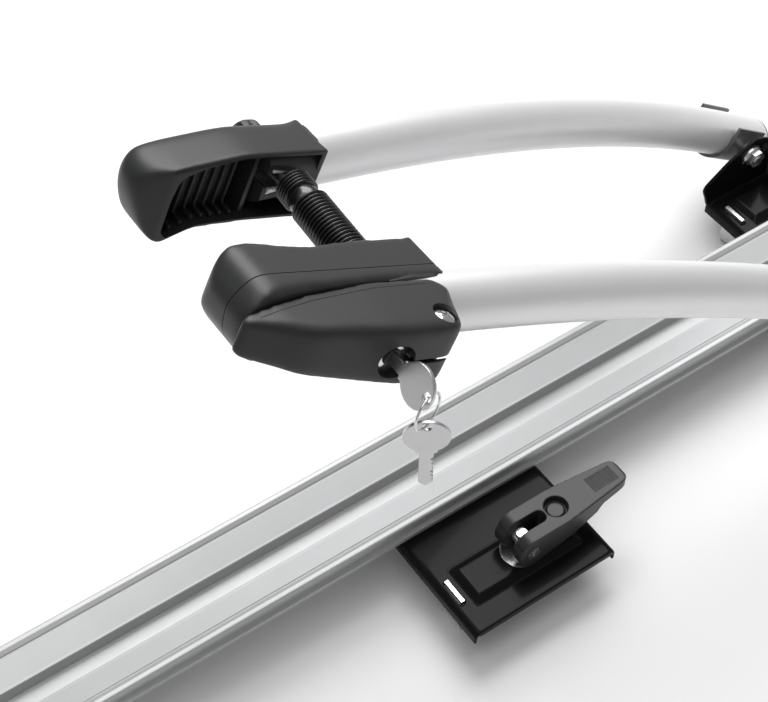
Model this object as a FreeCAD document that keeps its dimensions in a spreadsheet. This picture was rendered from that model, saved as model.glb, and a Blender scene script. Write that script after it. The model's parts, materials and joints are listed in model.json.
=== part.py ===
import FreeCAD, Part
import math
import os
from types import SimpleNamespace
from FreeCAD import Placement, Rotation, Vector

# Roof carrier for one bicycle: a rail on two cross bar brackets and two arms with clamp jaws.
# X runs along the rail, the arms rise towards -X, Z is up and the claws stand on Z = 0.

driving = {
    # Rail
    "railLength": 1400.0,
    "railWidth": 75.0,
    "railHeight": 19.0,
    "railLift": 36.0,
    "railWall": 2.5,
    "railFloor": 2.0,
    "channelWidth": 18.0,
    "ridgeHeight": 11.8,
    "slotSpread": 24.0,
    "slotWidth": 7.0,
    "chamberWidth": 19.0,
    "capThick": 3.5,
    "capPlug": 18.0,
    "fitGap": 0.2,
    # Brackets
    "plateThick": 2.5,
    "plateLength": 122.0,
    "flangeDrop": 12.0,
    "bendRadius": 3.0,
    "frontBracketX": -200.0,
    "mainBracketX": 200.0,
    "frontReach": 126.0,
    "frontBack": 40.0,
    "earOuter": 94.0,
    "earThick": 3.0,
    "frontStation": 91.0,
    "mainStation": 68.0,
    "studOffset": 3.0,
    "windowOffset": -53.0,
    "windowLength": 21.0,
    "windowWidth": 4.0,
    "pressLength": 92.0,
    "pressWidth": 34.0,
    "pressHeight": 4.0,
    "pressSlope": 5.0,
    # Screws that hold the rail
    "screwSpread": 34.0,
    "screwWidth": 6.0,
    "screwHeadWidth": 11.0,
    "screwHeadHeight": 3.3,
    "screwLength": 9.5,
    "nutSide": 10.0,
    "nutHeight": 5.0,
    # Rubber on the cross bar
    "padThick": 5.5,
    "padLength": 42.0,
    "padOffset": -29.0,
    "padInner": 42.0,
    # Clamps
    "strapWidth": 20.0,
    "strapThick": 3.0,
    "strapStep": 6.0,
    "studWidth": 8.0,
    "studTop": 63.0,
    "studHeadWidth": 15.0,
    "studHeadHeight": 4.8,
    "washerWidth": 28.0,
    "washerThick": 1.2,
    "camRadius": 14.5,
    "camLift": 3.0,
    "camTurn": 100.0,
    "camGap": 0.3,
    "leverLength": 87.0,
    "leverWidth": 30.0,
    "leverTipWidth": 19.0,
    "leverTipThick": 9.0,
    "leverSlot": 10.0,
    "crossPinWidth": 10.0,
    # Arms
    "tubeWidth": 36.0,
    "tubeWall": 2.0,
    "pivotX": 180.0,
    "pivotY": 121.1,
    "pivotHeight": 32.0,
    "lowerLift": 7.34099,
    "upperDrop": 6.45901,
    "splay": 6.63,
    "bendSize": 1850.0,
    "tubeTail": 39.0,
    "tubeHead": 14.0,
    "tubeCapThick": 2.5,
    "saddleWall": 2.5,
    "saddleGap": 0.3,
    "saddleFront": 27.0,
    "saddleBack": 19.0,
    "saddleSide": 15.0,
    "pivotBolt": 8.0,
    "ballWidth": 18.0,
    "ballFlat": 3.5,
    "spacerWidth": 14.0,
    "boltHeadWidth": 14.0,
    "boltHeadHeight": 5.0,
    "pivotNutSide": 13.0,
    "pivotNutHeight": 5.0,
    # Jaws: their frame starts here, and the rod crosses both arms a little further up
    "rodX": -284.0,
    "rodHeight": 299.0,
    "jawLift": 2.8,
    "rodWidth": 8.0,
    "rodShift": 2.0,
    "farMouth": 50.0,
    "farOuter": 85.0,
    "nearMouth": 34.0,
    "nearSeam": 58.0,
    "nearGap": 68.0,
    "farDepth": 20.0,
    "nearDepth": 17.0,
    "sleeveWall": 2.0,
    "gripLength": 53.0,
    "gripThick": 3.0,
    "padGap": 0.3,
    "padRibs": 8.0,
    "ribPitch": 6.6,
    "ribThick": 2.2,
    "ribHeight": 3.4,
    "nearAxis": 67.2,
    "anchorWidth": 14.0,
    "anchorLength": 27.0,
    # Bellows over the rod
    "bellowsFar": 45.0,
    "bellowsBore": 12.0,
    "bellowsRoot": 18.5,
    "bellowsCrest": 24.5,
    "fineRings": 5.0,
    "finePitch": 2.4,
    "bandLength": 9.0,
    "bigRings": 24.0,
    "bigPitch": 2.88,
    # Knob
    "knobWidth": 25.0,
    "knobLength": 12.5,
    "knobWasher": 1.5,
    "knobWasherWidth": 15.0,
    "knobGap": 1.1,
    "knobSeat": 86.2,
    "knobSeatWidth": 22.0,
    # Lock lever
    "screwA": 3.0,
    "screwY": 100.0,
    "lidTop": 21.0,
    "lidBottom": -21.5,
    "lidWall": 2.2,
    "lidGap": 0.8,
    "lidScrew": 6.0,
    "lidScrewHead": 14.0,
    "lugLevel": -2.5,
    "lugThick": 3.0,
    "slitHeight": 3.0,
    "lockWell": 22.0,
    "lockSunk": 5.0,
    "keyDepth": 20.0,
    "tailRelief": 32.0,
    "lockA": 34.5,
    "lockB": -2.0,
    "lockWidth": 17.0,
    "lockLength": 26.0,
    "rotorWidth": 11.0,
    # Keys
    "keyThick": 2.2,
    "bowWidth": 26.0,
    "bladeWidth": 8.0,
    "bladeLength": 33.0,
    "keyHole": 6.0,
    "ringWidth": 24.0,
    "ringWire": 1.6,
    "ringSlack": 1.2,
    "ringTurn": 20.0,
    "spareTurn": -34.7,
}

doc = FreeCAD.newDocument("BikeCarrier")
sheet = doc.addObject("Spreadsheet::Sheet", "Sizes")
for row, (name, amount) in enumerate(driving.items(), start=1):
    sheet.set(f"A{row}", name)
    sheet.set(f"B{row}", str(amount))
    sheet.setAlias(f"B{row}", name)
doc.recompute()
given = SimpleNamespace(**{name: float(sheet.get(name)) for name in driving})
pieces = {}


def spot(x=0.0, y=0.0, z=0.0, axis=(0, 0, 1), angle=0.0):
    return Placement(Vector(x, y, z), Rotation(Vector(*axis), angle))


def setSizes(item, **amounts):
    """Text amounts are bound to the sheet, numbers are set as they are."""
    for prop, amount in amounts.items():
        if isinstance(amount, str):
            item.setExpression(prop, amount)
        else:
            setattr(item, prop, amount)
    return item


def block(name, length, width, height, place):
    """A box, centred on its place in X and Y, standing on it in Z."""
    item = setSizes(doc.addObject("Part::Box", name), Length=length, Width=width, Height=height)
    doc.recompute([item])
    item.Placement = place * spot(-item.Length.Value / 2, -item.Width.Value / 2)
    return item


def rod(name, radius, height, place):
    item = setSizes(doc.addObject("Part::Cylinder", name), Radius=radius, Height=height)
    item.Placement = place
    return item


def originPlane(body, role):
    return next(item for item in body.Origin.OriginFeatures if item.Role == role)


def cornerArc(before, corner, after, radius):
    """Tangent points and middle of the arc that rounds a corner."""
    toBefore = (before - corner).normalize()
    toAfter = (after - corner).normalize()
    half = toBefore.getAngle(toAfter) / 2
    reach = radius / math.tan(half)
    middle = corner + (toBefore + toAfter).normalize() * (radius / math.sin(half) - radius)
    return corner + toBefore * reach, middle, corner + toAfter * reach


def outlineEdges(corners):
    """Lines and arcs through corners given as (x, y) or (x, y, radius)."""
    spots = [Vector(corner[0], corner[1], 0) for corner in corners]
    stops = []
    for index, corner in enumerate(corners):
        here = spots[index]
        if len(corner) == 2:
            stops.append((here, None, here))
        else:
            stops.append(cornerArc(spots[index - 1], here, spots[(index + 1) % len(spots)], corner[2]))
    edges = []
    for index, (first, middle, last) in enumerate(stops):
        if middle is not None:
            edges.append(Part.Arc(first, middle, last))
        following = stops[(index + 1) % len(stops)][0]
        if last.distanceToPoint(following) > 0.001:
            edges.append(Part.LineSegment(last, following))
    return edges


def outlineSketch(body, name, role, corners):
    drawing = body.newObject("Sketcher::SketchObject", name)
    drawing.AttachmentSupport = [(originPlane(body, role), "")]
    drawing.MapMode = "FlatFace"
    drawing.addGeometry(outlineEdges(corners), False)
    return drawing


def padded(name, role, corners, length, place=None, side="Symmetric", back=False):
    """A body padded from one closed outline on an origin plane."""
    body = doc.addObject("PartDesign::Body", name)
    pad = body.newObject("PartDesign::Pad", name + "Pad")
    pad.Profile = outlineSketch(body, name + "Outline", role, corners)
    pad.SideType = side
    pad.Reversed = back
    setSizes(pad, Length=length)
    body.Placement = place or Placement()
    return body


def join(name, items, refine=True):
    fused = doc.addObject("Part::MultiFuse", name)
    fused.Shapes = items
    fused.Refine = refine
    return fused


def carve(name, base, tools):
    """Base less all the tools."""
    item = doc.addObject("Part::Cut", name)
    item.Base = base
    item.Tool = tools[0] if len(tools) == 1 else join(name + "Tools", tools, False)
    return item


def overlap(name, first, second):
    item = doc.addObject("Part::MultiCommon", name)
    item.Shapes = [first, second]
    return item


def bundle(name, items):
    """Several separate solids that share one node."""
    item = doc.addObject("Part::Compound", name)
    item.Links = items
    return item


def keep(label, item):
    item.Label = label
    pieces[label] = item
    return item


def hexagon(name, across, height, place):
    item = doc.addObject("Part::Prism", name)
    item.Polygon = 6
    setSizes(item, Circumradius=across / math.sqrt(3), Height=height)
    item.Placement = place
    return item


def roundEdges(name, base, radius, wanted):
    """Rounds the edges of base that the test picks."""
    doc.recompute()
    chosen = [number for number, edge in enumerate(base.Shape.Edges, start=1) if wanted(edge)]
    item = doc.addObject("Part::Fillet", name)
    item.Base = base
    item.Edges = [(number, radius, radius) for number in chosen]
    return item


sideways = Rotation(Vector(1, 0, 0), -90)


# Rail: a shallow V tray with a channel in the middle and a nut chamber under each flange
def flangeHeight(across):
    """Height of the sloping top face at a distance from the rail's middle."""
    ridge = given.channelWidth / 2 + 2
    rise = (given.railHeight - 0.9 - given.ridgeHeight) / (given.railWidth / 2 - 4 - ridge)
    return given.ridgeHeight + rise * (across - ridge)


def railCorners():
    half = given.railWidth / 2
    inside = given.channelWidth / 2
    right = [
        (inside - 1.2, given.railFloor, 0.8),
        (inside, given.ridgeHeight - 0.4, 1.0),
        (inside + 2, given.ridgeHeight, 1.0),
        (half - 9, flangeHeight(half - 9)),
        (half - 8.4, flangeHeight(half - 8.4) - 0.7),
        (half - 7.4, flangeHeight(half - 7.4) - 0.7),
        (half - 6.8, flangeHeight(half - 6.8)),
        (half - 4, given.railHeight, 1.5),
        (half, given.railHeight, 1.6),
        (half, given.railHeight - 4.5, 0.8),
        (half - 3, given.railHeight - 6, 0.6),
        (half - 3, 4.6, 0.6),
        (half, 3.6, 0.6),
        (half, 0),
    ]
    left = [(-corner[0],) + corner[1:] for corner in reversed(right)]
    return right + left


def chamberCorners(side, gap=0.0, plug=False):
    """Nut chamber with its bottom slot, or the plug that fits it."""
    middle = given.slotSpread - 2
    inner = middle - given.chamberWidth / 2 + gap
    outer = middle + given.chamberWidth / 2 - gap
    slotIn = given.slotSpread - given.slotWidth / 2
    slotOut = given.slotSpread + given.slotWidth / 2
    floor = given.railWall + gap
    corners = [
        (inner, floor),
        (inner, flangeHeight(inner) - given.railWall - gap),
        (outer, flangeHeight(outer) - given.railWall - gap),
        (outer, floor),
    ]
    if not plug:
        corners += [(slotOut, floor), (slotOut, -1), (slotIn, -1), (slotIn, floor)]
    return [(side * corner[0], corner[1]) for corner in corners]


lift = spot(z=given.railLift)
bar = padded("RailBar", "YZ_Plane", railCorners(), "Sizes.railLength", lift)
chambers = [
    padded(f"RailChamber{number}", "YZ_Plane", chamberCorners(side), "Sizes.railLength + 2", lift)
    for number, side in enumerate((-1, 1))
]
keep("rail", carve("Rail", bar, chambers))


def endCap(label, direction):
    """Plastic cover on a rail end, with a plug in each chamber."""
    face = direction * given.railLength / 2
    cover = padded(label + "Cover", "YZ_Plane", railCorners(), "Sizes.capThick",
                   spot(face, 0, given.railLift), "One side", direction < 0)
    plugs = [
        padded(f"{label}Plug{number}", "YZ_Plane", chamberCorners(side, given.fitGap, True),
               "Sizes.capPlug", spot(face, 0, given.railLift), "One side", direction > 0)
        for number, side in enumerate((-1, 1))
    ]
    keep(label, join(label + "Body", [cover] + plugs))


endCap("front_end_cap", -1)
endCap("rear_end_cap", 1)


# Brackets of pressed steel under the rail
def bracketBlank(name, middle, width, shift=0.0):
    """Plate with both ends turned down; the rail lies on its top face."""
    half = given.plateLength / 2
    wall = given.plateThick
    bend = given.bendRadius
    corners = [
        (-half, -given.flangeDrop),
        (-half, 0, bend + wall),
        (half, 0, bend + wall),
        (half, -given.flangeDrop),
        (half - wall, -given.flangeDrop),
        (half - wall, -wall, bend),
        (wall - half, -wall, bend),
        (wall - half, -given.flangeDrop),
    ]
    return padded(name, "XZ_Plane", corners, width, spot(middle, shift, given.railLift))


def pressing(name, x, y, z):
    """Frustum that forms the raised field under a lever."""
    wedge = doc.addObject("Part::Wedge", name)
    long = given.pressLength / 2
    wide = given.pressWidth / 2
    slope = given.pressSlope
    setSizes(wedge, Xmin=-long, Xmax=long, Zmin=-wide, Zmax=wide, Ymin=0.0, Ymax="Sizes.pressHeight",
             X2min=slope - long, X2max=long - slope, Z2min=slope - wide, Z2max=wide - slope)
    wedge.Placement = Placement(Vector(x, y, z), Rotation(Vector(1, 0, 0), 90))
    return wedge


def bracket(label, middle, blank, clampPlaces, extra):
    stud = middle + given.studOffset
    top = given.railLift
    raised = [pressing(f"{label}Raised{number}", middle, y, top) for number, y in enumerate(clampPlaces)]
    hollow = [
        pressing(f"{label}Hollow{number}", middle, y, top - given.plateThick)
        for number, y in enumerate(clampPlaces)
    ]
    holes = []
    for number, y in enumerate(clampPlaces):
        holes.append(rod(f"{label}StudHole{number}", "Sizes.studWidth / 2 + 0.5", 30.0,
                         spot(stud, y, top - 15)))
        holes.append(block(f"{label}Window{number}", "Sizes.windowWidth", "Sizes.windowLength", 30.0,
                           spot(middle + given.windowOffset, y, top - 15)))
    for number, side in enumerate((-1, 1)):
        for end in (-1, 1):
            holes.append(rod(f"{label}ScrewHole{number}{end + 1}", "Sizes.screwWidth / 2 + 0.2", 10.0,
                             spot(middle + end * given.screwSpread, side * given.slotSpread, top - 5)))
    solid = join(label + "Solid", [blank] + raised + extra)
    keep(label, carve(label + "Body", solid, hollow + holes))


def frontLip():
    """Turned-down outer edge of the front plate."""
    reach = given.frontReach - given.plateThick / 2
    return block("FrontLip", given.plateLength - 8, "Sizes.plateThick", 6.0,
                 spot(given.frontBracketX, -reach, given.railLift - 6.5))


def ears():
    """Upright plates of the main bracket that carry the arms."""
    x = given.pivotX
    z = given.pivotHeight
    corners = [
        (x - 42, -given.plateThick),
        (x - 45, 7, 8),
        (x - 50, 19, 8),
        (x - 25, 37, 30),
        (x + 2, z + 16, 8),
        (x + 18, z + 10, 8),
        (x + 30, 14, 20),
        (x + 34, -given.plateThick),
    ]
    uprights = []
    for number, side in enumerate((-1, 1)):
        middle = side * (given.earOuter - given.earThick / 2)
        plate = padded(f"Ear{number}", "XZ_Plane", corners, "Sizes.earThick", spot(0, middle, given.railLift))
        swing = math.sqrt((given.ballWidth / 2) ** 2 - (given.earThick / 2) ** 2) + 0.35
        hole = rod(f"EarHole{number}", swing, 12.0,
                   Placement(Vector(x, middle - 6, given.railLift + z), sideways))
        uprights.append(carve(f"EarPlate{number}", plate, [hole]))
    return uprights


frontBlank = bracketBlank("FrontBlank", given.frontBracketX, "Sizes.frontReach + Sizes.frontBack",
                          (given.frontBack - given.frontReach) / 2)
mainBlank = bracketBlank("MainBlank", given.mainBracketX, "2 * Sizes.earOuter")
bracket("front_bracket", given.frontBracketX, frontBlank, [-given.frontStation], [frontLip()])
bracket("main_bracket", given.mainBracketX, mainBlank, [-given.mainStation, given.mainStation], ears())


def railFixings(label, middle):
    """Four button screws from below and the square nuts in the rail's chambers."""
    screws = []
    nuts = []
    under = given.railLift - given.plateThick
    for number, (end, side) in enumerate(((-1, -1), (-1, 1), (1, -1), (1, 1))):
        x = middle + end * given.screwSpread
        y = side * given.slotSpread
        shank = rod(f"{label}Shank{number}", "Sizes.screwWidth / 2", "Sizes.screwLength", spot(x, y, under))
        head = rod(f"{label}Head{number}", "Sizes.screwHeadWidth / 2", "Sizes.screwHeadHeight",
                   spot(x, y, under - given.screwHeadHeight))
        socket = hexagon(f"{label}Socket{number}", 4.0, 2.0, spot(x, y, under - given.screwHeadHeight))
        screws.append(carve(f"{label}Screw{number}", join(f"{label}Turned{number}", [shank, head]), [socket]))
        square = block(f"{label}Square{number}", "Sizes.nutSide", "Sizes.nutSide", "Sizes.nutHeight",
                       spot(x, y, given.railLift + given.railWall))
        bore = rod(f"{label}Bore{number}", "Sizes.screwWidth / 2", 20.0, spot(x, y, given.railLift))
        nuts.append(carve(f"{label}Nut{number}", square, [bore]))
    keep(label + "_screws", bundle(label + "Screws", screws))
    keep(label + "_nuts", bundle(label + "Nuts", nuts))


railFixings("front_bracket", given.frontBracketX)
railFixings("main_bracket", given.mainBracketX)


def barPads(label, middle, outer, sides):
    """Rubber between the plate and the cross bar, with three grooves across."""
    pads = []
    under = given.railLift - given.plateThick
    width = outer - given.padInner
    groove = given.padLength / 4
    for number, side in enumerate(sides):
        sole = spot(middle + given.padOffset, side * (given.padInner + width / 2), under - given.padThick)
        sheetPad = block(f"{label}Blank{number}", "Sizes.padLength", width, "Sizes.padThick", sole)
        grooves = [
            block(f"{label}Groove{number}{count}", 2.0, width + 2, 1.2, sole * spot(groove * (count - 1)))
            for count in range(3)
        ]
        pads.append(carve(f"{label}Pad{number}", sheetPad, grooves))
    keep(label, bundle(label + "Pads", pads))


barPads("front_bar_pad", given.frontBracketX, given.frontReach - 10, [-1])
barPads("main_bar_pads", given.mainBracketX, given.earOuter - 6, [-1, 1])

# Clamps: strap, stud, cross pin and cam lever at three stations
stations = {
    "front_near": (given.frontBracketX, -given.frontStation),
    "main_near": (given.mainBracketX, -given.mainStation),
    "main_far": (given.mainBracketX, given.mainStation),
}
washerTop = given.railLift + given.pressHeight + given.washerThick
pinHeight = washerTop + given.camRadius + given.camGap


def strap(label, middle, y):
    """Bent steel strap that goes round the cross bar and hooks into the window."""
    wall = given.strapThick
    back = given.windowOffset - wall / 2
    step = given.studOffset - 14
    rise = given.strapStep
    end = given.studOffset + 20
    corners = [
        (back, 0, wall + 2),
        (step, 0, 4),
        (step + 5, rise, 4),
        (end, rise),
        (end, rise + wall),
        (step + 5 - 1.2, rise + wall, 2),
        (step - 1.2, wall, 4),
        (back + wall, wall, 2),
        (back + wall, given.railLift + 3),
        (back, given.railLift + 3),
    ]
    bent = padded(label + "Bent", "XZ_Plane", corners, "Sizes.strapWidth", spot(middle, y, 0))
    hole = rod(label + "Hole", "Sizes.studWidth / 2 + 0.3", 40.0, spot(middle + given.studOffset, y, -1))
    keep(label, carve(label + "Body", bent, [hole]))


def stud(label, x, y):
    """Stud with a round head under the strap."""
    low = given.strapStep - given.studHeadHeight
    head = rod(label + "Head", "Sizes.studHeadWidth / 2", "Sizes.studHeadHeight", spot(x, y, low))
    shank = rod(label + "Shank", "Sizes.studWidth / 2", given.studTop - given.strapStep,
                spot(x, y, given.strapStep))
    keep(label, join(label + "Body", [head, shank]))


def crossPin(label, x, y):
    """Round nut across the lever's fork, turned by the slot in its end."""
    length = given.leverWidth - 1
    low = -length / 2
    turned = rod(label + "Turned", "Sizes.crossPinWidth / 2", length,
                 Placement(Vector(x, y + low, pinHeight), sideways))
    thread = rod(label + "Thread", "Sizes.studWidth / 2", 30.0, spot(x, y, pinHeight - 15))
    slots = [
        block(f"{label}Slot{number}", 1.4, 2.4, 8.0, spot(x, y + side * length / 2, pinHeight - 4))
        for number, side in enumerate((-1, 1))
    ]
    keep(label, carve(label + "Body", turned, [thread] + slots))


def camCorners():
    """Side outline of the lever about its pin; the lobe shrinks evenly over the camTurn."""
    edges = []
    radius = given.camRadius

    def lobe(degrees):
        size = radius - given.camLift * min(degrees / given.camTurn, 1)
        turn = math.radians(-90 - degrees)
        return Vector(size * math.cos(turn), size * math.sin(turn), 0)

    parts = 4
    for count in range(parts):
        first = given.camTurn * count / parts
        width = given.camTurn / parts
        edges.append(Part.Arc(lobe(first), lobe(first + width / 2), lobe(first + width)))
    end = given.camTurn + 25
    edges.append(Part.Arc(lobe(given.camTurn), lobe(given.camTurn + 12), lobe(end)))
    crown = Vector(0, radius, 0)
    lean = math.radians(27)
    shoulder = Vector(-math.sin(lean), math.cos(lean), 0) * (radius - 0.6)
    edges.append(Part.Arc(lobe(end), shoulder, crown))
    tip = given.leverLength
    thick = given.leverTipThick
    floor = [
        crown,
        Vector(tip - 2, radius, 0),
        Vector(tip, radius - 2, 0),
        Vector(tip, radius - thick + 2, 0),
        Vector(tip - 3, radius - thick, 0),
        Vector(tip - 24, radius - thick - 1.5, 0),
        Vector(tip - 30, radius - thick - 7, 0),
        Vector(12, -radius + 2.5, 0),
        Vector(0, -radius, 0),
    ]
    edges += [Part.LineSegment(one, two) for one, two in zip(floor, floor[1:])]
    return edges


def camLever(label, x, y):
    """Dark plastic lever: fork with two cam lobes, tapered handle with grip grooves."""
    frame = spot(x, y, pinHeight)
    body = doc.addObject("PartDesign::Body", label + "Side")
    drawing = body.newObject("Sketcher::SketchObject", label + "SideOutline")
    drawing.AttachmentSupport = [(originPlane(body, "XZ_Plane"), "")]
    drawing.MapMode = "FlatFace"
    drawing.addGeometry(camCorners(), False)
    pad = body.newObject("PartDesign::Pad", label + "SidePad")
    pad.Profile = drawing
    pad.SideType = "Symmetric"
    setSizes(pad, Length="Sizes.leverWidth")
    body.Placement = frame
    wide = given.leverWidth / 2
    slim = given.leverTipWidth / 2
    tip = given.leverLength + 1
    plan = [
        (-given.camRadius - 2, -wide, 3),
        (34, -wide, 30),
        (tip, -slim, slim - 0.2),
        (tip, slim, slim - 0.2),
        (34, wide, 30),
        (-given.camRadius - 2, wide, 3),
    ]
    top = padded(label + "Plan", "XY_Plane", plan, 60.0, frame)
    shape = overlap(label + "Shape", body, top)
    slot = given.leverSlot / 2
    tools = [
        padded(label + "Slot", "XY_Plane",
               [(-40, -slot), (19, -slot, slot - 0.05), (19, slot, slot - 0.05), (-40, slot)], 60.0, frame),
        rod(label + "PinHole", "Sizes.crossPinWidth / 2 + 0.1", given.leverWidth + 2,
            frame * Placement(Vector(0, -given.leverWidth / 2 - 1, 0), sideways)),
        rod(label + "Recess", 8.5, 20.0, frame * spot(29, 0, given.camRadius - 6)),
        padded(label + "Under", "XZ_Plane",
               [(24, -14), (24, 1, 4), (54, 3.5, 3), (54, -14)], 17.0, frame),
    ]
    for count in range(8):
        tools.append(block(f"{label}Groove{count}", 1.5, 13.0, 1.0,
                           frame * spot(given.leverLength - 27 + 2.7 * count, 0, given.camRadius - 0.8)))
    hollowed = carve(label + "Hollowed", shape, tools)
    disc = rod(label + "Disc", 6.3, 2.2, frame * spot(29, 0, given.camRadius - 6.1))
    keep(label, join(label + "Body", [hollowed, disc]))


washers = []
for station, (middle, y) in stations.items():
    x = middle + given.studOffset
    strap(station + "_strap", middle, y)
    stud(station + "_stud", x, y)
    crossPin(station + "_cross_pin", x, y)
    camLever(station + "_lever", x, y)
    plain = rod(station + "Washer", "Sizes.washerWidth / 2", "Sizes.washerThick",
                spot(x, y, given.railLift + given.pressHeight))
    eye = rod(station + "WasherEye", "Sizes.studWidth / 2 + 0.4", 10.0, spot(x, y, given.railLift))
    washers.append(carve(station + "WasherBody", plain, [eye]))
keep("cam_washers", bundle("CamWashers", washers))


# Arms: one bent tube each, in an upright plane that leans in by the splay angle
def armFrame(side):
    """Origin on the tube's axis at the pivot bolt, x level towards the jaw."""
    return spot(given.pivotX, side * given.pivotY, given.railLift + given.pivotHeight,
                (0, 0, 1), 180 + side * given.splay)


def armReach():
    """How far the rod lies from the pivot along the arm and above it."""
    reach = (given.pivotX - given.rodX) / math.cos(math.radians(given.splay))
    return reach, given.rodHeight - 1 - given.pivotHeight


def armSlope():
    """Degrees that the straight line from the pivot to the rod climbs."""
    reach, rise = armReach()
    return math.degrees(math.atan2(rise, reach))


def armPath():
    """Straight lower leg, one long bend and a straight upper end, in the arm's plane."""
    low = math.radians(armSlope() + given.lowerLift)
    high = math.radians(armSlope() - given.upperDrop)
    reach, rise = armReach()
    lowWay = Vector(math.cos(low), 0, math.sin(low))
    highWay = Vector(math.cos(high), 0, math.sin(high))
    meet = (rise - reach * math.tan(high)) / (math.tan(low) - math.tan(high))
    knee = Vector(meet, 0, meet * math.tan(low))
    tangent = given.bendSize * math.tan((low - high) / 2)
    start = lowWay * -given.tubeTail
    first = knee - lowWay * tangent
    last = knee + highWay * tangent
    end = Vector(reach, 0, rise) + highWay * given.tubeHead
    turn = (low - high) / 2
    centre = first + Vector(math.sin(low), 0, -math.cos(low)) * given.bendSize
    steep = low - turn
    middle = centre + Vector(-math.sin(steep), 0, math.cos(steep)) * given.bendSize
    return Part.Wire([
        Part.LineSegment(start, first).toShape(),
        Part.Arc(first, middle, last).toShape(),
        Part.LineSegment(last, end).toShape(),
    ])


def sweptRound(path, radius):
    """A round bar along the arm's path."""
    start = path.Vertexes[0].Point
    low = math.radians(armSlope() + given.lowerLift)
    ring = Part.Wire(Part.makeCircle(radius, start, Vector(math.cos(low), 0, math.sin(low))))
    return path.makePipeShell([ring], True, False)


def lowerSpot(side, along, up=0.0):
    """Frame on the lower leg: z along the tube towards the jaw, y up across it."""
    slope = armSlope() + given.lowerLift
    low = math.radians(slope)
    offset = Vector(along * math.cos(low) - up * math.sin(low), 0, along * math.sin(low) + up * math.cos(low))
    return armFrame(side) * Placement(offset, Rotation(Vector(0, 1, 0), 90 - slope))


def jawFrame():
    """x up the arm, y outwards on the near side, z up across the jaw."""
    tilt = armSlope() - given.upperDrop + given.jawLift
    return Placement(Vector(given.rodX, 0, given.railLift + given.rodHeight),
                     Rotation(Vector(0, 1, 0), tilt) * Rotation(Vector(0, 0, 1), 180))


def acrossPlace(y, x=given.rodShift, z=0.0):
    """Frame in the jaw with its z pointing outwards on the near side, on the rod unless told otherwise."""
    return jawFrame() * Placement(Vector(x, y, z), sideways)


def rodSlot(name, grow=0.0):
    """Room for the rod through the far arm, which tilts and shifts as the jaws close."""
    travel = 9.5
    width = given.rodWidth / 2 + 1.5 + grow
    corners = [
        (-width - 1, -width, width - 0.05),
        (travel + width, -width, width - 0.05),
        (travel + width, width, width - 0.05),
        (-width - 1, width, width - 0.05),
    ]
    return padded(name, "XZ_Plane", corners, 70.0, jawFrame() * spot(given.rodShift, -given.pivotY + 52))


def boltPlace(side, start, reach=0.0):
    """Frame on the pivot bolt's line, z outwards from the rail."""
    turn = Rotation(Vector(1, 0, 0), -90 * side)
    return Placement(Vector(given.pivotX, side * (start + reach), given.railLift + given.pivotHeight), turn)


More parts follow.
